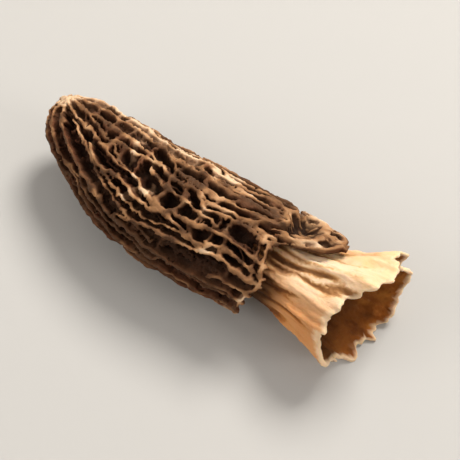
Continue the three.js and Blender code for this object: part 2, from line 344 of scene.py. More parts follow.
def track_points(k, s0=None):
    """Main ridge k from the knot, or from s0, to the margin."""
    f = tracks[k]
    out = []
    if s0 is None:
        end = polar(JOIN_S, float(f(JOIN_S)))
        ahead = polar(JOIN_S + 0.02, float(f(JOIN_S + 0.02)))
        lead = end - (ahead - end) / np.linalg.norm(ahead - end) * 0.5 * np.linalg.norm(end - knot)
        start = knot + 0.35 * (lead - knot) / np.linalg.norm(lead - knot)
        last = None
        for t in np.linspace(0, 1, 18)[:-1]:
            p = (1 - t) ** 2 * start + 2 * t * (1 - t) * lead + t * t * end
            s, u = np.linalg.norm(p) / ARC, math.atan2(p[1], p[0])
            last = u
            out.append([s, u])
        first = JOIN_S
        # Angles continue without a jump into the track's own.
        target = float(f(JOIN_S))
        fixed, prev = [], target
        for s, u in reversed(out):
            u = u + TAU * round((prev - u) / TAU)
            fixed.append([s, u])
            prev = u
        out = fixed[::-1]
    else:
        first = s0
    for s in np.arange(first, 1.0, 0.012):
        out.append([s, float(f(s)) + 0.024 * math.sin(TAU * (s * 4.6 + chance(k + 57))) * float(smooth(0.05, 0.25, s))])
    out.append([1.02, float(f(1.0))])
    return np.array(out)


def deg(points):
    """A line through (s, degrees) points, sampled finely."""
    p = np.array([[s, math.radians(a)] for s, a in points], float)
    f = curve(p)
    s = np.arange(p[0, 0], p[-1, 0] + 1e-6, 0.01)
    return np.stack([s, f(s)], -1)


main, cross, low = Lines(), Lines(), Lines()

# Main ridges. Some begin at a neighbour instead of at the knot.
LATE = {4: 0.335, 7: 0.1, 9: 0.12, 11: 0.09, 13: 0.13, 15: 0.11}
lines = {}
for k in range(RIDGES):
    if k == 4:
        continue
    pts = track_points(k, LATE.get(k))
    if k in LATE:  # it leaves the ridge below it
        s0 = LATE[k]
        other = tracks[(k - 1) % RIDGES] if (k % 4) != 3 else tracks[(k + 1) % RIDGES]
        o = float(other(s0 - 0.035))
        o += TAU * round((pts[0, 1] - o) / TAU)
        pts = np.concatenate([[[s0 - 0.035, o], [s0 - 0.015, 0.6 * o + 0.4 * pts[0, 1]]], pts])
    n = len(pts)
    rngk = np.random.default_rng(100 + k)
    knots = rngk.uniform(0, 1, 14)
    wave = np.interp(np.linspace(0, 13, n), np.arange(14), knots)
    crest = 0.02 + 0.4 * wave ** 1.6
    half = 0.17 + 0.09 * np.interp(np.linspace(0, 13, n), np.arange(14), rngk.uniform(0, 1, 14))
    main.add(pts, crest, half)
    lines[k] = pts
# Ridges on the upper side that part from their neighbours and meet them again.
for pts, crest, half in [
    (deg([[0.2, 104], [0.28, 110], [0.36, 122], [0.45, 132], [0.55, 140], [0.62, 147], [0.68, 152]]), 0.35, 0.15),
    (deg([[0.42, 122], [0.5, 128], [0.58, 134], [0.66, 134], [0.74, 131], [0.82, 129], [0.9, 128], [1.0, 131]]), 0.3, 0.16),
    (deg([[0.26, 83], [0.32, 86], [0.4, 92], [0.46, 99], [0.5, 103]]), 0.3, 0.15),
    (deg([[0.56, 92], [0.63, 99], [0.7, 103], [0.78, 106], [0.84, 109]]), 0.35, 0.15),
    (deg([[0.7, 62], [0.76, 66], [0.82, 65], [0.88, 62], [0.93, 60], [0.96, 56]]), 0.2, 0.16),
    (deg([[0.66, 82], [0.74, 85], [0.82, 83], [0.9, 82], [0.98, 84]]), 0.15, 0.17),
    (deg([[0.74, 44], [0.8, 47], [0.88, 44], [0.95, 43]]), 0.2, 0.15),
    (deg([[0.33, 111], [0.365, 118], [0.45, 119], [0.53, 121], [0.6, 123], [0.66, 121]]), 0.12, 0.2),
    (deg([[0.53, 150], [0.575, 146], [0.65, 142], [0.75, 141], [0.82, 137], [0.875, 135]]), 0.15, 0.2),
    (deg([[0.63, 115], [0.67, 118], [0.75, 116.5], [0.85, 115], [0.93, 117], [1.0, 121]]), 0.1, 0.2),
    (deg([[0.385, 97], [0.415, 88], [0.47, 87], [0.53, 87], [0.575, 84]]), 0.25, 0.17),
    (deg([[0.735, 91], [0.78, 98], [0.85, 100], [0.9, 97], [0.95, 100], [1.0, 106]]), 0.1, 0.19),
    (deg([[0.865, 158], [0.9, 155], [0.95, 155], [1.0, 157]]), 0.15, 0.19),
]:
    main.add(pts, crest, half)

# Thin ridges that run along the furrows, between main ridge k and the next. Some fade out, some meet a main ridge.
def between(k, s, q):
    upper = (k + 1) % RIDGES if k != 3 else 5  # the fourth ridge is drawn in pieces, above
    turn = TAU if k + 1 == RIDGES else 0
    a, b = float(tracks[k](s)), float(tracks[upper](s)) + turn
    return a + (b - a) * q


second = {}
for k in range(RIDGES):
    if k in (2, 3, 4):
        continue
    runs = []
    s = 0.14 + 0.1 * chance(k * 13 + 2)
    if k in (0, 1):
        s = 0.45 + 0.2 * chance(k + 5)
    while s < 0.9:
        length = 0.3 + 0.4 * chance(k * 29 + len(runs) * 3)
        runs.append((s, min(1.01, s + length), len(runs)))
        s += length + 0.03 + 0.05 * chance(k * 31 + len(runs))
    second[k] = runs
    for s0, s1, j in runs:
        steps = max(6, int((s1 - s0) / 0.015))
        side0, side1 = chance(k * 3 + j * 7), chance(k * 5 + j * 11 + 1)
        pts, crest = [], []
        for t_ in np.linspace(0, 1, steps):
            s = s0 + (s1 - s0) * t_
            q = 0.5 + 0.1 * math.sin(TAU * (s * 2.3 + chance(k + j * 19))) + 0.03 * math.sin(TAU * (s * 7 + chance(k * 2 + j)))
            ends = (smooth(0.22, 0.0, t_) * (0.45 if side0 < 0.5 else -0.45)
                    + (smooth(0.8, 1.0, t_) * (0.45 if side1 < 0.5 else -0.45) if s1 < 1 else 0))
            pts.append([s, between(k, s, float(q + ends))])
            crest.append(0.3 + 0.45 * chance(k * 7 + j * 5) + 0.2 * math.sin(TAU * (s * 3.1 + chance(k * 11 + j))))
        main.add(pts, np.maximum(crest, 0.08), 0.13 + 0.05 * chance(k + j * 23))

# Cross ridges between main ridge k and the next: a ladder of low ones on the upper side, few elsewhere.
CROSS_AT = {
    0: [0.11, 0.2, 0.29, 0.37, 0.45, 0.53, 0.6, 0.67, 0.735, 0.79, 0.855, 0.93],
    1: [0.13, 0.245, 0.35, 0.42, 0.535, 0.64, 0.735, 0.81, 0.87, 0.95],
    2: [0.12, 0.245, 0.325, 0.395, 0.445, 0.53, 0.64, 0.7, 0.775, 0.825, 0.875, 0.96],
    3: [0.24, 0.43, 0.58, 0.73, 0.9],
    5: [0.185, 0.385, 0.53, 0.66, 0.82],
}
for k in range(RIDGES):
    if k == 4:
        continue
    if k in CROSS_AT:
        places = CROSS_AT[k]
    else:
        places, s, j = [], 0.12 + 0.1 * chance(k * 31 + 5), 0
        while s < 0.97:
            places.append(s)
            s += 0.075 + 0.11 * chance(k * 53 + j * 7 + 1)
            j += 1
    for j, s in enumerate(places):
        slant = (chance(k * 97 + j * 13 + 3) - 0.5) * 0.06
        bend = (chance(k * 41 + j * 17 + 9) - 0.5) * 0.03
        # A cross ridge goes the whole way over, or only as far as the thin ridge in the middle.
        whole = k in (0, 1, 2) or chance(k * 59 + j * 31) < 0.25
        q0, q1 = (0.0, 1.0) if whole else ((0.0, 0.52) if chance(k * 61 + j * 7) < 0.5 else (0.48, 1.0))
        pts, crest = [], []
        mid = (0.3 if k in (0, 1, 2) else 0.75) + 0.55 * chance(k * 19 + j * 5)
        for t_ in np.linspace(0, 1, 9):
            q = q0 + (q1 - q0) * t_
            sq = s + slant * (q - 0.5) + bend * 4 * t_ * (1 - t_)
            pts.append([sq, between(k, sq, q + 0.03 * math.sin(TAU * q + j))])
            crest.append(mid * (0.55 + 0.45 * math.sin(math.pi * t_)))
        cross.add(pts, crest, 0.13 + 0.05 * chance(k * 23 + j * 3))

# Low ribs on the pit floors, mostly along the furrows.
for k in range(RIDGES):
    nxt = (k + 1) % RIDGES
    turn = TAU if k + 1 == RIDGES else 0
    for j in range(26):
        s = 0.08 + 0.9 * chance(k * 211 + j * 37 + 5)
        if chance(k * 17 + j * 91) < 0.35:
            q0 = -0.02 if chance(k * 7 + j * 3 + 1) < 0.5 else 0.5
            qs = np.linspace(q0, q0 + 0.52, 5)
            ss = s + (chance(k + j * 77) - 0.5) * 0.05 * np.linspace(-0.5, 0.5, 5)
        else:
            q = 0.2 + 0.6 * chance(k * 5 + j * 11)
            qs = q + (chance(k * 3 + j * 43) - 0.5) * 0.3 * np.linspace(-0.5, 0.5, 5)
            ss = s + np.linspace(-0.5, 0.5, 5) * (0.07 + 0.09 * chance(k + j * 13))
        pts = []
        for sq, q in zip(ss, qs):
            sq = float(np.clip(sq, 0.03, 1.0))
            a = float(tracks[k](sq))
            b = float(tracks[nxt](sq)) + turn
            pts.append([sq, a + (b - a) * q])
        low.add(pts, 1.0 + 0.5 * chance(k * 9 + j * 21), 0.1 + 0.05 * chance(j + k * 15), reach=1.2)

# Two short ridges across, one on each side of the pit behind the lobe.
for s_at, u0, u1, half in ((0.88, 22, 94, 0.21), (0.942, 32, 88, 0.2)):
    us = np.radians(np.linspace(u0, u1, 24))
    main.add(np.stack([s_at + 0.006 * np.sin(5 * us) + 0.012 * ((us - us.mean()) / 0.6) ** 2, us], -1), 0.02, half)

# The margin's own rolled rim, which goes all the way round.
rim_u = np.linspace(0, TAU, 200)
main.add(np.stack([np.full(200, 0.983), rim_u], -1), 0.03, 0.18 + 0.18 * lobe(rim_u), reach=1.6)

D1, C1, W1 = main.tables()
D2, C2, W2 = cross.tables()
D3, C3, W3 = low.tables()
C1 = C1 + F(0.07) * band(2.2, 11)
C2 = C2 + F(0.08) * band(1.8, 12)
PIT = np.exp(-((ms - 0.91) / 0.019) ** 2 - (angle_from(mu, 1.0) / 0.42) ** 4)  # the deep pit behind the lobe has no ridges over it
C1, C2, C3 = ((c + 2.2 * PIT).astype(F) for c in (C1, C2, C3))
W1 = W1 * (1 + F(0.12) * band(1.4, 13))
FLOOR = 1.95 + F(0.16) * band(3.0, 14) + F(0.05) * band(0.9, 15, 0.6)
FLOOR = FLOOR * (0.42 + 0.58 * smooth(0.02, 0.22, ms)) * (0.62 + 0.38 * smooth(1.0, 0.9, ms))
dent = np.exp(-((ms - 0.907) / 0.017) ** 2 - (angle_from(mu, 1.0) / 0.42) ** 4)  # the pit behind the lobe
FLOOR = (FLOOR + 0.8 * dent).astype(F)
WARP_U = (F(0.15) * band(3.8, 21, 1.6) + F(0.075) * band(1.6, 22) + F(0.03) * band(0.7, 26)).astype(F)  # mm
WARP_S = (F(0.16) * band(3.4, 23) + F(0.07) * band(1.4, 24)).astype(F)
LEAN = (F(0.16) * band(5.0, 25, 2.5) + F(0.1) * band(1.8, 27, 1.6)).astype(F)
WRINKLE = (F(0.045) * band(0.75, 31, 0.55) + F(0.03) * band(0.5, 32)).astype(F)


def wall(d, h, crest, half, floor, flare=0.3):
    """Level of one ridge: a thin plate with a rounded crest and a broader foot."""
    bead = half * 1.15
    top = np.hypot(d, h - crest - bead) - bead
    thick = half * (0.92 - 0.25 * smooth(0.1, 0.7, h - crest)) + flare * smooth(0.5, 1.0, h / floor)
    plate = np.maximum(d - thick, crest + bead - h)
    return join(top, plate, F(0.12))


# ---------------------------------------------------------------- the volume
VOXEL = 0.14
lo = np.array([-24.3, -9.2, -0.5])
hi = np.array([24.3, 9.2, 14.5])
shape = np.ceil((hi - lo) / VOXEL).astype(int) + 1
axes = [(lo[i] + VOXEL * np.arange(shape[i])).astype(F) for i in range(3)]

cy, sy, cx, sx = math.cos(TURN_Y), math.sin(TURN_Y), math.cos(TURN_X), math.sin(TURN_X)
TURN = np.array([[1, 0, 0], [0, cx, -sx], [0, sx, cx]]) @ np.array([[cy, 0, sy], [0, 1, 0], [-sy, 0, cy]])

f_bow_y, f_bow_z = tabled(bow_y, -4, 52), tabled(bow_z, -4, 52)
f_cap, f_stem, f_cavity = tabled(cap_radius, -2, 52), tabled(stem_radius, 20, 52), tabled(cavity_radius, 4, 34)
f_lobe = tabled(lobe, -math.pi, math.pi, 720)
f_reach = tabled(margin_reach, -math.pi, math.pi, 720)
f_end = tabled(stem_end, -math.pi, math.pi, 1440)

# Fine lines on the stem: over (x, angle) from x = 26 to 50.
STEM_MAP = (300, 560)
SM_SIZE = (24.0, TAU * 5.6)


def stem_band(wave, seed, stretch=1.0, spread=0.38):
    w = np.random.default_rng(seed).standard_normal(STEM_MAP)
    fa = np.fft.fftfreq(STEM_MAP[0], SM_SIZE[0] / STEM_MAP[0])[:, None] * stretch
    fb = np.fft.rfftfreq(STEM_MAP[1], SM_SIZE[1] / STEM_MAP[1])[None, :]
    k = np.exp(-(np.log(np.maximum(np.hypot(fa, fb), 1e-6) * wave) ** 2) / (2 * spread * spread))
    n = np.fft.irfft2(np.fft.rfft2(w) * k, s=STEM_MAP)
    return (n / n.std()).astype(F)


STEM_FINE = (F(0.1) * stem_band(1.5, 41, 5.0) + F(0.05) * stem_band(0.8, 42, 4.0) + F(0.03) * stem_band(0.55, 43)).astype(F)
STEM_JAG = (F(0.16) * stem_band(1.2, 44, 0.3) + F(0.05) * stem_band(0.6, 45, 0.4)).astype(F)
INNER = (F(0.06) * stem_band(1.4, 46, 2.0) + F(0.03) * stem_band(0.7, 47)).astype(F)
_g = np.linspace(26, 50, STEM_MAP[0])[:, None]
_u = (np.arange(STEM_MAP[1]) * TAU / STEM_MAP[1])[None, :]
FLUTE = flute(_u, _g).astype(F)
# Narrow grooves between the flutes: they start under the cap and fade out on the way to the torn end.
GROOVE = np.zeros(STEM_MAP, F)
for j in range(30):
    at = TAU * (j + 0.7 * chance(j * 7 + 3)) / 30
    last = 36.5 + 9 * chance(j * 5 + 1) ** 1.3
    line = at + 0.05 * np.sin(_g * 0.55 + 6 * chance(j)) + (chance(j * 3 + 9) - 0.5) * 0.03 * (_g - 33)
    across = np.abs(angle_from(_u, line)) * stem_radius(_g) / (0.2 + 0.16 * chance(j * 11))
    g_ = np.exp(-across ** 2) * smooth(last, last - 4, _g) * (0.55 + 0.45 * chance(j * 13 + 5))
    GROOVE = np.maximum(GROOVE, g_.astype(F))


def stem_look(table, x, u):
    return look2(table, (x - 26) / 24 * (STEM_MAP[0] - 1), u / TAU * STEM_MAP[1], True)


def unflatten(y, z, outer):
    limit = F(FLAT_FROM * FLATTEN) * outer
    z = np.where(z < -limit, -limit + (z + limit) / F(FLAT_KEEP), z) / F(FLATTEN)
    return np.hypot(y, z), np.arctan2(z, y)


def cap_coords(x, y, z):
    """s, u, depth under the envelope, and x before the margin's shift, for points in the bowed axis frame."""
    r, u = unflatten(y, z, f_cap(x))
    reach = f_reach(u)
    x0 = look2(T_BACK, (reach + 3) / 0.1, (x + 3) / 0.1)
    s_near = np.interp(x0, ox, oarc / ARC).astype(F)
    lift = 0.35 * np.cos(u + 2.2) * smooth(0.9, 1, s_near) + LOBE_LIFT * f_lobe(u) * smooth(0.82, 0.97, s_near)
    rr_ = r - lift.astype(F)
    a, b = (x0 - TX0) / TSTEP, np.maximum(rr_, 0) / TSTEP
    return look2(T_S, a, b), u, look2(T_DEPTH, a, b), x0, r


def cap_level(x, y, z):
    s, u, h, x0, r = cap_coords(x, y, z)
    rs = np.maximum(np.interp(np.clip(s, 0, 1) * ARC, oarc, orad).astype(F), F(1.2))
    hh = np.clip(h, -0.5, 2.6)
    u2 = u + (look(WARP_U, s, u) + look(LEAN, s, u) * hh) / rs
    s2 = s + look(WARP_S, s, u) / F(ARC)
    a, b = to_map(s2, u2)
    floor = look2(FLOOR, a, b, True)
    f = floor - h
    w1 = wall(look2(D1, a, b, True), h, look2(C1, a, b, True), look2(W1, a, b, True), floor)
    w2 = wall(look2(D2, a, b, True), h, look2(C2, a, b, True), look2(W2, a, b, True), floor, F(0.22))
    d3, c3, w3 = look2(D3, a, b, True), look2(C3, a, b, True), look2(W3, a, b, True)
    w3 = np.hypot(d3, np.maximum(c3 - h, 0) * F(0.9)) - w3
    f = join(f, w3, F(0.35))
    f = join(f, w2, F(0.4))
    f = join(f, w1, F(0.45))
    f = f - look(WRINKLE, s, u) * smooth(-0.2, 0.3, h)
    # The skirt: a groove runs in under the margin, between it and the stem.
    under = 0.75 + 0.5 * smooth(33, 31.6, x0) + 0.9 * smooth(31.8, 30.2, x0)
    groove = np.maximum(F(30.3) - x0, under.astype(F) - h)
    f = cut(f, -groove, F(0.25))
    f = cut(f, x0 - F(CAP_LENGTH), F(0.35))
    return f, s2, u2, h, x0


def stem_level(x, y, z):
    r, u = unflatten(y, z, f_stem(x))
    radius = f_stem(x) + stem_look(FLUTE, x, u) - F(0.3) * stem_look(GROOVE, x, u)
    body = r - radius - stem_look(STEM_FINE, x, u) * smooth(28, 35, x)
    end = STEM_END + (f_end(u) - F(STEM_END)) * smooth(36, STEM_END, x) + stem_look(STEM_JAG, np.full_like(x, 45), u)
    body = np.maximum(body, F(27.0) - x)
    return cut(body, (x - end.astype(F)) * F(0.9), F(0.15)), r, u, radius + F(0.75) * stem_look(STEM_FINE, x, u) * smooth(28, 35, x).astype(F)


def cavity_level(x, y, z, stem_outer):
    mix = smooth(31.5, 35, x).astype(F)
    r, u = np.hypot(y, z / F(FLATTEN)), np.arctan2(z / F(FLATTEN), y)
    wall_t = (F(STEM_WALL) - 0.2 * smooth(40.5, 46, x)).astype(F)
    wide = stem_outer - wall_t
    limit = F(FLAT_FROM * FLATTEN) * f_stem(x)
    bottom = -limit - F(FLAT_KEEP) * np.maximum(F(FLATTEN) * stem_outer - limit, 0) + F(0.95) * wall_t  # the stem's flat side keeps its wall
    rad = f_cavity(x) * (1 - mix) + wide * mix
    f = r - rad + stem_look(INNER, np.clip(x, 26, 50), u) + 0.06 * np.sin(x * 1.9 + 3 * u) * (1 - mix)
    f = np.where(x > 31.5, cut(f, bottom + F(0.08) * stem_look(INNER, np.clip(x, 26, 50), u * 1.7) - z, F(0.5)), f)
    return np.maximum(f, F(5.0) - x), r, u


def to_axis(px, py, pz):
    """Points of the row's frame, in mm, to the bowed axis frame."""
    p = [px - F(SHIFT[0]), py - F(SHIFT[1]), pz - F(SHIFT[2])]
    x = sum(F(TURN[k, 0]) * p[k] for k in range(3))
    y = sum(F(TURN[k, 1]) * p[k] for k in range(3))
    z = sum(F(TURN[k, 2]) * p[k] for k in range(3))
    return x, y - f_bow_y(x), z - f_bow_z(x)


def levels(px, py, pz, parts=False):
    x, y, z = to_axis(px, py, pz)
    n = x.shape[0]
    rough = np.hypot(y, z)
    f_c = np.full(n, 3.0, F)
    near = (x > -1.5) & (x < 44) & (rough < 9.3)
    c, s2, u2, h, x0 = cap_level(x[near], y[near], z[near])
    f_c[near] = c
    f_s = np.full(n, 3.0, F)
    outer = np.full(n, 3.0, F)
    near_s_ = (x > 25.5) & (x < 50)
    st, rs_, us_, rad = stem_level(x[near_s_], y[near_s_], z[near_s_])
    f_s[near_s_] = st
    outer[near_s_] = rad
    f_h, _, _ = cavity_level(x, y, z, outer)
    body = join(f_c, f_s, F(0.35))
    f = cut(body, -f_h, F(0.1))
    if not parts:
        return f
    depth = np.zeros(n, F)
    depth[near] = h
    ss, uu = np.zeros(n, F), np.zeros(n, F)
    ss[near], uu[near] = s2, u2
    return f, f_c, f_s, f_h, depth, ss, uu, x


gy, gz = np.meshgrid(axes[1], axes[2], indexing="ij")
gy, gz = gy.ravel(), gz.ravel()
field = np.empty(shape, F)
slab = 24
for i in range(0, shape[0], slab):
    xs = axes[0][i:i + slab]
    px = np.repeat(xs, gy.size)
    field[i:i + slab] = levels(px, np.tile(gy, len(xs)), np.tile(gz, len(xs))).reshape(len(xs), shape[1], shape[2])
print("volume", shape.tolist(), round(time.time() - START, 1), "s")

# A level of exactly zero, and squares whose inside corners touch only across a diagonal, would pinch the skin.
field[np.abs(field) < 1e-4] = 1e-4
field[0], field[-1], field[:, 0], field[:, -1], field[:, :, 0], field[:, :, -1] = 1, 1, 1, 1, 1, 1
for _ in range(6):
    fixed = 0
    for a, b in ((0, 1), (0, 2), (1, 2)):
        c00 = field
        sl = [slice(None)] * 3

        def part(da, db):
            s_ = [slice(None)] * 3
            s_[a] = slice(da, field.shape[a] - 1 + da)
            s_[b] = slice(db, field.shape[b] - 1 + db)
            return tuple(s_)
        i00, i10, i01, i11 = (field[part(0, 0)] < 0), (field[part(1, 0)] < 0), (field[part(0, 1)] < 0), (field[part(1, 1)] < 0)
        bad = (i00 & i11 & ~i10 & ~i01) | (~i00 & ~i11 & i10 & i01)
        if bad.any():
            fixed += int(bad.sum())
            idx = np.argwhere(bad)
            for da, db in ((0, 0), (1, 0), (0, 1), (1, 1)):
                at = idx.copy()
                at[:, a] += da
                at[:, b] += db
                at = tuple(at.T)
                v = field[at]
                field[at] = np.where((v > 0) & (v < 0.6), -1e-3, v)
    if not fixed:
        break
print("pinches mended, last round", fixed, round(time.time() - START, 1), "s")


def surface_nets(vol, origin, step):
    """The zero level of vol as quads, one vertex in each cell that it crosses."""
    neg = vol < 0
    nx, ny, nz = vol.shape
    corner = [neg[i:nx - 1 + i, j:ny - 1 + j, k:nz - 1 + k] for i in (0, 1) for j in (0, 1) for k in (0, 1)]
    count = np.zeros(corner[0].shape, np.uint8)
    for c in corner:
        count += c
    cells = np.argwhere((count > 0) & (count < 8))
    index = np.full(count.shape, -1, np.int32)
    index[tuple(cells.T)] = np.arange(len(cells))
    value = np.empty((len(cells), 2, 2, 2), F)
    for i in (0, 1):
        for j in (0, 1):
            for k in (0, 1):
                value[:, i, j, k] = vol[cells[:, 0] + i, cells[:, 1] + j, cells[:, 2] + k]
    total = np.zeros((len(cells), 3), np.float64)
    hits = np.zeros(len(cells))
    for axis in range(3):
        for p in (0, 1):
            for q in (0, 1):
                at0 = [0, 0, 0]
                at1 = [0, 0, 0]
                others = [a for a in range(3) if a != axis]
                at0[others[0]] = at1[others[0]] = p
                at0[others[1]] = at1[others[1]] = q
                at1[axis] = 1
                v0 = value[:, at0[0], at0[1], at0[2]]
                v1 = value[:, at1[0], at1[1], at1[2]]
                m = (v0 < 0) != (v1 < 0)
                t = np.where(m, v0 / np.where(m, v0 - v1, 1), 0)
                add = np.zeros((len(cells), 3))
                add[:, others[0]] = p
                add[:, others[1]] = q
                add[:, axis] = t
                total += add * m[:, None]
                hits += m
    verts = origin + step * (cells + total / hits[:, None])
    quads = []
    for axis in range(3):
        b, c = [(1, 2), (2, 0), (0, 1)][axis]
        s0 = [slice(None)] * 3
        s1 = [slice(None)] * 3
        s0[axis], s1[axis] = slice(0, -1), slice(1, None)
        e = neg[tuple(s0)] != neg[tuple(s1)]
        sel = [slice(1, -1)] * 3
        sel[axis] = slice(None)
        e = e[tuple(sel)]
        at = np.argwhere(e)
        for k in range(3):
            if k != axis:
                at[:, k] += 1
        flip = neg[tuple(at.T)]
        ub = np.zeros(3, int)
        uc = np.zeros(3, int)
        ub[b], uc[c] = 1, 1
        q0 = index[tuple((at - ub - uc).T)]
        q1 = index[tuple((at - uc).T)]
        q2 = index[tuple(at.T)]
        q3 = index[tuple((at - ub).T)]
        quad = np.stack([q0, q1, q2, q3], 1)
        quad[~flip] = quad[~flip][:, ::-1]
        quads.append(quad)
    return verts, np.concatenate(quads)


verts, quads = surface_nets(field, lo, VOXEL)
print("skin", len(verts), "points", len(quads), "quads", round(time.time() - START, 1), "s")


def largest_part(v, q):
    """Keeps the one connected skin with the most points."""
    label = np.arange(len(v))
    edges = np.concatenate([q[:, [0, 1]], q[:, [1, 2]], q[:, [2, 3]]])
    while True:
        m = np.minimum(label[edges[:, 0]], label[edges[:, 1]])
        new = label.copy()
        np.minimum.at(new, edges[:, 0], m)
        np.minimum.at(new, edges[:, 1], m)
        new = new[new]
        while True:
            again = new[new]
            if (again == new).all():
                break
            new = again
        if (new == label).all():
            break
        label = new
    names, counts = np.unique(label, return_counts=True)
    keep = label == names[counts.argmax()]
    remap = np.cumsum(keep) - 1
    print("skins", len(names), "kept", int(counts.max()))
    return v[keep], remap[q[keep[q[:, 0]]]]


verts, quads = largest_part(verts, quads)

mesh = bpy.data.meshes.new("morel")
mesh.vertices.add(len(verts))
mesh.vertices.foreach_set("co", (verts * 0.001).astype(F).ravel())
mesh.loops.add(quads.size)
mesh.loops.foreach_set("vertex_index", quads.astype(np.int32).ravel())
mesh.polygons.add(len(quads))
mesh.polygons.foreach_set("loop_start", (np.arange(len(quads)) * 4).astype(np.int32))
mesh.update()
mesh.validate()
morel = bpy.data.objects.new("morel", mesh)
bpy.context.scene.collection.objects.link(morel)

# Fewer triangles where the skin is smooth.
TARGET = 190000
triangles = len(quads) * 2
if triangles > TARGET:
    thin = morel.modifiers.new("thin", "DECIMATE")
    thin.ratio = TARGET / triangles
    depsgraph = bpy.context.evaluated_depsgraph_get()
    made = bpy.data.meshes.new_from_object(morel.evaluated_get(depsgraph))
    morel.modifiers.clear()
    morel.data = made
    bpy.data.meshes.remove(mesh)
    mesh = made
mesh.name = "morel"
mesh.polygons.foreach_set("use_smooth", np.ones(len(mesh.polygons), bool))
print("triangles", sum(len(p.vertices) - 2 for p in mesh.polygons), round(time.time() - START, 1), "s")

# ---------------------------------------------------------------- what the surface is at each point, for its colours
co = np.empty(len(mesh.vertices) * 3, F)
mesh.vertices.foreach_get("co", co)
co = co.reshape(-1, 3) * 1000
f, f_c, f_s, f_h, depth, ss, uu, ax_x = levels(co[:, 0].copy(), co[:, 1].copy(), co[:, 2].copy(), parts=True)


def boxed(vol, r, times=2):
    out = vol.astype(F)
    for _ in range(times):
        for axis in range(3):
            c = np.cumsum(np.concatenate([np.zeros_like(out.take([0], axis)), out], axis), axis=axis, dtype=np.float64)
            n = out.shape[axis]
            a = np.clip(np.arange(n) - r, 0, n)
            b = np.clip(np.arange(n) + r + 1, 0, n)
            out = ((c.take(b, axis) - c.take(a, axis)) / (2 * r + 1)).astype(F)
    return out


def read_volume(vol, p):
    g = (p - lo) / VOXEL
    i = np.clip(g.astype(int), 0, np.array(vol.shape) - 2)
    q = (g - i).astype(F)
    out = 0
    for a in (0, 1):
        for b in (0, 1):
            for c in (0, 1):
                w = (q[:, 0] if a else 1 - q[:, 0]) * (q[:, 1] if b else 1 - q[:, 1]) * (q[:, 2] if c else 1 - q[:, 2])
                out = out + w * vol[i[:, 0] + a, i[:, 1] + b, i[:, 2] + c]
    return out


# How much solid lies around each point, at two sizes, as an occlusion measure: the smaller one paints shade in creases,
# the larger keeps the torn edge's light colour out of hollows.
solid = np.clip(0.5 - field / VOXEL, 0, 1)
crease_occlusion = read_volume(boxed(solid, max(1, round(0.42 / VOXEL))), co)
wide = read_volume(boxed(solid, max(2, round(0.98 / VOXEL))), co)
a, b = to_map(ss, uu)
crest_line = np.exp(-(look2(D1, a, b, True) / 0.42) ** 2) * np.exp(-np.maximum(depth - look2(C1, a, b, True), 0) / 0.35)
cross_line = np.exp(-(look2(D2, a, b, True) / 0.35) ** 2) * np.exp(-np.maximum(depth - look2(C2, a, b, True), 0) / 0.3)
is_inner = smooth(0.25, 0.0, np.abs(f_h))
is_stem = smooth(-0.25, 0.25, f_c - f_s)


def attribute(name, values):
    layer = mesh.attributes.new(name, "FLOAT", "POINT")
    layer.data.foreach_set("value", np.ascontiguousarray(values, F))


# Where the ridge edges are lighter: the knot, the ridge down the middle of the upper side, and the crown of the cap,
# partly rubbed wear and partly painted light on the side toward the lamps; the negative amounts are painted shade on
# the lower side.
wear_and_light = 0.3 + 0.2 * look2(band(6.5, 61, 1.5), a, b, True) + 0.16 * look2(band(2.2, 62), a, b, True)
for s_at, u_at, s_wide, u_wide, amount in (
        (0.11, 68, 0.06, 60, 0.75), (0.42, 100, 0.1, 9, 0.35), (0.56, 112, 0.13, 10, 0.5), (0.27, 42, 0.07, 15, 0.7), (0.4, 40, 0.1, 15, 0.85), (0.57, 43, 0.1, 13, 0.75), (0.88, 62, 0.016, 24, 0.5), (0.955, 62, 0.02, 20, 0.2),
        (0.55, 84, 0.2, 8, 0.25), (0.24, 60, 0.09, 14, 0.3), (0.97, 95, 0.04, 45, 0.1), (0.96, 84, 0.035, 11, 0.4), (0.98, 166, 0.02, 9, 0.7), (0.8, 137, 0.14, 9, 0.2),
        # painted shade: the first three amounts here darken the ridges on the lower side of the cap, around 165 to 205
        # degrees
        (0.55, 205, 0.4, 38, -0.4), (0.45, 165, 0.25, 18, -0.2), (0.75, 165, 0.2, 20, -0.15), (0.82, 58, 0.1, 26, 0.25), (0.985, 56, 0.02, 30, -0.1)):
    wear_and_light = wear_and_light + amount * np.exp(-((ss - s_at) / s_wide) ** 2 - (np.degrees(angle_from(uu, math.radians(u_at))) / u_wide) ** 2)
cap_u = np.arctan2(*to_axis(co[:, 0], co[:, 1], co[:, 2])[:0:-1])
groove = np.clip(0.9 * stem_look(GROOVE, np.clip(ax_x, 26, 49.9), cap_u)
                 + 0.75 * smooth(0.05, -0.75, stem_look(FLUTE + F(1.3) * STEM_FINE, np.clip(ax_x, 26, 49.9), cap_u)), 0, 1)
to_end = f_end(cap_u) + stem_look(STEM_JAG, np.full_like(cap_u, 45), cap_u) - ax_x
# painted shade: strongest around 180 degrees, the side away from the lamps, for the stem's lower side and the inside
shade = np.exp(-(np.degrees(angle_from(cap_u, math.radians(180))) / 55) ** 2)
knot_spot = np.exp(-((ss - 0.11) / 0.04) ** 2 - (angle_from(uu, KNOT_U) / 0.9) ** 2) * np.exp(-np.maximum(depth, 0) / 0.6)
attribute("crest", np.clip(np.maximum(np.maximum(crest_line, 0.5 * cross_line), knot_spot), 0, 1))
attribute("wear_and_light", np.clip(wear_and_light, 0, 1))
attribute("groove", groove)
attribute("torn", smooth(0.5, 0.08, to_end))
attribute("shaded", shade)
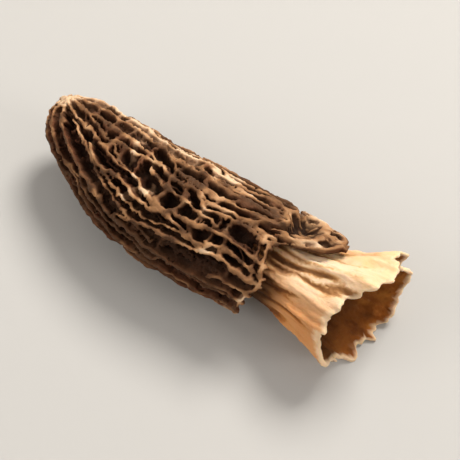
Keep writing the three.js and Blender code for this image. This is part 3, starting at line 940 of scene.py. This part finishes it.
# painted highlight: a patch on the top of the stem, where the key lamp's light falls
attribute("stem_highlight", np.exp(-((ax_x - 39.5) / 4.4) ** 2 - (np.degrees(angle_from(cap_u, math.radians(104))) / 34) ** 2))
attribute("depth", np.clip(depth / 2.0, 0, 1))
attribute("hollow", np.clip(wide, 0, 1))
attribute("crease_shade", np.clip(crease_occlusion, 0, 1))
attribute("stem", is_stem)
attribute("inner", is_inner)
attribute("along", np.clip(ax_x / 46.0, 0, 1.2))
print("colour fields", round(time.time() - START, 1), "s")

# ---------------------------------------------------------------- material
flesh = bpy.data.materials.new("dried_flesh")
flesh.use_nodes = True
nt = flesh.node_tree
nt.nodes.clear()


def node(kind, at=(0, 0), **sets):
    n = nt.nodes.new(kind)
    n.location = at
    for key, val in sets.items():
        setattr(n, key, val)
    return n


def link(a, b):
    nt.links.new(a, b)


def attr(name):
    n = node("ShaderNodeAttribute", attribute_name=name)
    return n.outputs["Fac"]


def ramp(src, stops, mode="EASE"):
    n = node("ShaderNodeValToRGB")
    n.color_ramp.interpolation = mode
    el = n.color_ramp.elements
    while len(el) > 1:
        el.remove(el[-1])
    el[0].position = stops[0][0]
    el[0].color = (*stops[0][1], 1)
    for pos, col in stops[1:]:
        e = el.new(pos)
        e.color = (*col, 1)
    link(src, n.inputs["Fac"])
    return n.outputs["Color"]


def gray(src, a, b, c=0.0, d=1.0):
    n = node("ShaderNodeMapRange")
    n.interpolation_type = "SMOOTHSTEP"
    for key, val in (("From Min", a), ("From Max", b), ("To Min", c), ("To Max", d)):
        n.inputs[key].default_value = val
    link(src, n.inputs["Value"])
    return n.outputs["Result"]


def math_(op, a, b=None):
    n = node("ShaderNodeMath", operation=op)
    for i, v in enumerate((a, b)):
        if v is None:
            continue
        if isinstance(v, (int, float)):
            n.inputs[i].default_value = v
        else:
            link(v, n.inputs[i])
    return n.outputs[0]


def mix(fac, a, b, mode="MIX"):
    n = node("ShaderNodeMix", data_type="RGBA", blend_type=mode)
    n.clamp_factor = True
    if isinstance(fac, (int, float)):
        n.inputs[0].default_value = fac
    else:
        link(fac, n.inputs[0])
    for i, v in ((6, a), (7, b)):
        if isinstance(v, tuple):
            n.inputs[i].default_value = (*v, 1)
        else:
            link(v, n.inputs[i])
    return n.outputs[2]


coords = node("ShaderNodeTexCoord").outputs["Object"]


def noise(scale, detail=4.0, rough=0.55, stretch=None, distortion=0.0, kind="FBM"):
    src = coords
    if stretch:
        m = node("ShaderNodeMapping")
        m.inputs["Scale"].default_value = stretch
        link(coords, m.inputs["Vector"])
        src = m.outputs["Vector"]
    n = node("ShaderNodeTexNoise")
    n.noise_type = kind
    n.inputs["Scale"].default_value = scale
    n.inputs["Detail"].default_value = detail
    n.inputs["Roughness"].default_value = rough
    n.inputs["Distortion"].default_value = distortion
    link(src, n.inputs["Vector"])
    return n.outputs["Fac"]


fine = noise(2600, 5.0, 0.6)
blotch = noise(300, 4.0, 0.6)
patch = noise(110, 3.0, 0.5)
streak = noise(900, 4.0, 0.6, (0.16, 1, 1), 0.4)
broad_streak = noise(420, 3.0, 0.55, (0.14, 1, 1), 0.5)

crest, deep, hollow, crease_shade = attr("crest"), attr("depth"), attr("hollow"), attr("crease_shade")
stem_, inner, along = attr("stem"), attr("inner"), attr("along")

wear_and_light, groove, torn, shaded, stem_highlight = (attr(name) for name in ("wear_and_light", "groove", "torn", "shaded", "stem_highlight"))

# Cap: near-black pits, brown walls, and tan ridge edges that are lighter in places, partly from rubbing and partly as
# painted light. The darkening into the pits is partly their own colour and partly painted shade.
# painted shade: the lighter edge colour is kept out of enclosed creases
open_ = gray(crease_shade, 0.6, 0.28)  # 1 on edges that stand out, 0 in creases
# darker with depth under the envelope: partly the pits' own dark colour, partly painted shade in the recesses
wall_col = ramp(deep, [(0.0, (0.15, 0.068, 0.031)), (0.28, (0.075, 0.032, 0.0145)), (0.58, (0.032, 0.0125, 0.0055)), (1.0, (0.0145, 0.0055, 0.0025))])
wall_col = mix(gray(blotch, 0.4, 0.75, 0, 0.8), wall_col, mix(1.0, wall_col, (1.55, 1.4, 1.35), "MULTIPLY"))
wall_col = mix(gray(patch, 0.4, 0.62, 0, 0.75), wall_col, mix(1.0, wall_col, (0.85, 0.62, 0.6), "MULTIPLY"))
# the pit walls turn lighter where that mask is high: partly rubbed wear, partly painted light
wall_col = mix(gray(wear_and_light, 0.72, 1.0, 0, 0.7), wall_col, (0.38, 0.215, 0.12))
edge_col = ramp(math_("ADD", wear_and_light, math_("MULTIPLY", math_("SUBTRACT", blotch, 0.5), 0.55)),
                [(0.08, (0.078, 0.036, 0.017)), (0.32, (0.175, 0.083, 0.036)), (0.55, (0.3, 0.15, 0.066)), (0.8, (0.5, 0.287, 0.147)), (1.0, (0.68, 0.475, 0.3))])
edge = math_("MULTIPLY", gray(crest, 0.28, 0.85), gray(open_, 0.1, 0.75))
cap_col = mix(edge, wall_col, edge_col)
cap_col = mix(gray(fine, 0.5, 0.78, 0, 0.35), cap_col, mix(1.0, cap_col, (1.6, 1.5, 1.4), "MULTIPLY"))

# Stem: cream on its flutes, brown in its grooves, browner toward the cap, with a light torn edge. Painted highlight on
# its top, painted shade down its lower side and in its creases, and a painted shadow under the cap margin.
neck = gray(along, 0.86, 0.76, 1.0, 1.5)
# painted highlight: on the top of the stem the tone is lifted, then turned cream outside the grooves
tone = math_("ADD", math_("MULTIPLY", groove, neck), math_("SUBTRACT", math_("MULTIPLY", math_("SUBTRACT", broad_streak, 0.5), 1.1), math_("MULTIPLY", stem_highlight, 0.1)))
stem_col = ramp(tone, [(0.0, (0.8, 0.53, 0.31)), (0.12, (0.78, 0.51, 0.265)), (0.3, (0.56, 0.295, 0.112)), (0.55, (0.29, 0.132, 0.048)), (1.0, (0.125, 0.052, 0.019))])
stem_col = mix(math_("MULTIPLY", stem_highlight, gray(groove, 0.6, 0.0)), stem_col, (0.83, 0.64, 0.46))
stem_col = mix(gray(streak, 0.46, 0.7, 0.0, 0.45), stem_col, mix(1.0, stem_col, (0.62, 0.46, 0.3), "MULTIPLY"))
# painted shade: the stem is darkened in its enclosed creases
stem_col = mix(gray(crease_shade, 0.52, 0.7, 0, 0.75), stem_col, (0.2, 0.095, 0.036))
stem_col = mix(gray(along, 0.84, 0.73, 0, 0.6), stem_col, mix(1.0, stem_col, (0.6, 0.42, 0.28), "MULTIPLY"))
# painted shade: the stem's lower side is browner and darker
stem_col = mix(gray(shaded, 0.12, 0.75, 0, 0.85), stem_col, mix(1.0, stem_col, (0.76, 0.51, 0.3), "MULTIPLY"))
# painted shadow under the cap margin, on the shaded side near the neck
stem_col = mix(math_("MULTIPLY", gray(shaded, 0.2, 0.8, 0, 0.9), gray(along, 0.83, 0.745)), stem_col, (0.075, 0.032, 0.013))
stem_col = mix(gray(patch, 0.5, 0.7, 0, 0.45), stem_col, mix(1.0, stem_col, (0.85, 0.66, 0.44), "MULTIPLY"))

# Inside: orange-brown, with paler and darker patches, and painted shade on its shaded side and further in from the
# mouth.
inner_col = ramp(blotch, [(0.3, (0.12, 0.032, 0.004)), (0.5, (0.25, 0.072, 0.009)), (0.68, (0.4, 0.14, 0.022))])
inner_col = mix(gray(broad_streak, 0.5, 0.7, 0, 0.35), inner_col, (0.27, 0.1, 0.022))
# painted shade: darker on the shaded side and further in from the torn end
inner_col = mix(gray(shaded, 0.1, 0.8, 0, 0.75), inner_col, (0.085, 0.03, 0.008))
inner_col = mix(gray(along, 0.99, 0.82, 0, 0.85), inner_col, (0.05, 0.02, 0.008))

colour = mix(stem_, cap_col, stem_col)
colour = mix(inner, colour, inner_col)
rim = math_("MULTIPLY", torn, gray(hollow, 0.52, 0.36))
colour = mix(math_("MULTIPLY", rim, 0.85), colour, (0.78, 0.58, 0.37))

shader = node("ShaderNodeBsdfPrincipled")
link(colour, shader.inputs["Base Color"])
rough = math_("ADD", gray(fine, 0.3, 0.7, 0.62, 0.86), gray(edge, 0, 1, 0.04, -0.08))
link(rough, shader.inputs["Roughness"])
shader.inputs["Specular IOR Level"].default_value = 0.2
shader.inputs["Specular Tint"].default_value = (1.0, 0.86, 0.7, 1)
link(gray(stem_, 0, 1, 0.1, 0.35), shader.inputs["Subsurface Weight"])
shader.inputs["Subsurface Radius"].default_value = (1.0, 0.45, 0.2)
shader.inputs["Subsurface Scale"].default_value = 0.0006

grain = node("ShaderNodeBump")
grain.inputs["Strength"].default_value = 0.5
grain.inputs["Distance"].default_value = 0.00012
link(fine, grain.inputs["Height"])
folds = node("ShaderNodeBump")
folds.inputs["Strength"].default_value = 0.7
folds.inputs["Distance"].default_value = 0.00025
link(noise(1100, 4.0, 0.6, (0.55, 1, 1), 0.8), folds.inputs["Height"])
link(grain.outputs["Normal"], folds.inputs["Normal"])
link(folds.outputs["Normal"], shader.inputs["Normal"])
out = node("ShaderNodeOutputMaterial")
link(shader.outputs["BSDF"], out.inputs["Surface"])
morel.data.materials.append(flesh)

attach(morel, "root")
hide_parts("morel_mushroom")

# ---------------------------------------------------------------- floor, lights, camera
scene = bpy.context.scene
floor_mesh = bpy.data.meshes.new("floor")
# A round studio sweep: flat for 0.55 m, then it curves up into a wall on every side.
sweep = [(0.1, 0.0), (0.3, 0.0), (0.55, 0.0)]
sweep += [(0.55 + 0.85 * math.sin(math.radians(t_)), 0.85 * (1 - math.cos(math.radians(t_)))) for t_ in range(5, 91, 5)]
sweep += [(1.4, 1.3), (1.4, 1.8)]
around = 96
points = [(0, 0, 0)] + [(r_ * math.cos(TAU * i / around), r_ * math.sin(TAU * i / around), z_) for r_, z_ in sweep for i in range(around)]
faces = [(0, 1 + i, 1 + (i + 1) % around) for i in range(around)]
for j in range(len(sweep) - 1):
    for i in range(around):
        a_, b_ = 1 + j * around, 1 + (j + 1) * around
        faces.append((a_ + i, b_ + i, b_ + (i + 1) % around, a_ + (i + 1) % around))
floor_mesh.from_pydata(points, [], faces)
floor_mesh.polygons.foreach_set("use_smooth", np.ones(len(faces), bool))
floor = bpy.data.objects.new("floor", floor_mesh)
scene.collection.objects.link(floor)
paper = bpy.data.materials.new("pale_floor")
paper.use_nodes = True
pb = paper.node_tree.nodes["Principled BSDF"]
pb.inputs["Roughness"].default_value = 0.9
pb.inputs["Specular IOR Level"].default_value = 0.2
rise = floor_mesh.attributes.new("rise", "FLOAT", "POINT")  # the wall of the sweep is paler than its floor
rise.data.foreach_set("value", np.array([smooth(0.25, 0.95, math.hypot(p_[0], p_[1])) for p_ in points], F))
pn = paper.node_tree
fade = pn.nodes.new("ShaderNodeAttribute")
fade.attribute_name = "rise"
tint = pn.nodes.new("ShaderNodeMix")
tint.data_type = "RGBA"
tint.inputs[6].default_value = (0.46, 0.448, 0.43, 1)
tint.inputs[7].default_value = (0.86, 0.84, 0.81, 1)
pn.links.new(fade.outputs["Fac"], tint.inputs[0])
pn.links.new(tint.outputs[2], pb.inputs["Base Color"])
floor_mesh.materials.append(paper)

world = bpy.data.worlds.new("studio")
scene.world = world
world.use_nodes = True
bg = world.node_tree.nodes["Background"]
bg.inputs["Color"].default_value = (1.0, 0.965, 0.925, 1)
bg.inputs["Strength"].default_value = 0.62


def area(name, azimuth, elevation, distance, size, power, colour_):
    light = bpy.data.lights.new(name, "AREA")
    light.shape = "DISK"
    light.size = size
    light.energy = power
    light.color = colour_
    o = bpy.data.objects.new(name, light)
    a_, e_ = math.radians(azimuth), math.radians(elevation)
    o.location = (distance * math.sin(a_) * math.cos(e_), -distance * math.cos(a_) * math.cos(e_), distance * math.sin(e_))
    o.rotation_euler = (Vector((0, 0, 0.005)) - o.location).to_track_quat("-Z", "Y").to_euler()
    o.visible_camera = False
    scene.collection.objects.link(o)
    return o


area("key", 178, 52, 0.45, 0.19, 2.4, (1.0, 0.97, 0.92))
area("fill", -40, 35, 0.5, 0.3, 0.8, (1.0, 0.98, 0.96))
area("side", 100, 30, 0.5, 0.2, 0.6, (1.0, 0.98, 0.96))

AZ, EL = math.radians(36.3), math.radians(60)
camera_data = bpy.data.cameras.new("camera")
camera = bpy.data.objects.new("camera", camera_data)
scene.collection.objects.link(camera)
camera_data.lens = 90
camera_data.sensor_width = 36
camera_data.clip_start = 0.005
camera_data.clip_end = 20
back = Vector((math.sin(AZ) * math.cos(EL), -math.cos(AZ) * math.cos(EL), math.sin(EL)))
camera.rotation_euler = back.to_track_quat("Z", "Y").to_euler()
target = Vector((0.0034, 0.0008, 0.0057))
camera.location = target + back * 0.13
scene.camera = camera
scene.view_settings.view_transform = "Standard"
scene.view_settings.look = "None"

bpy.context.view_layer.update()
print("scene built in", round(time.time() - START, 1), "s")
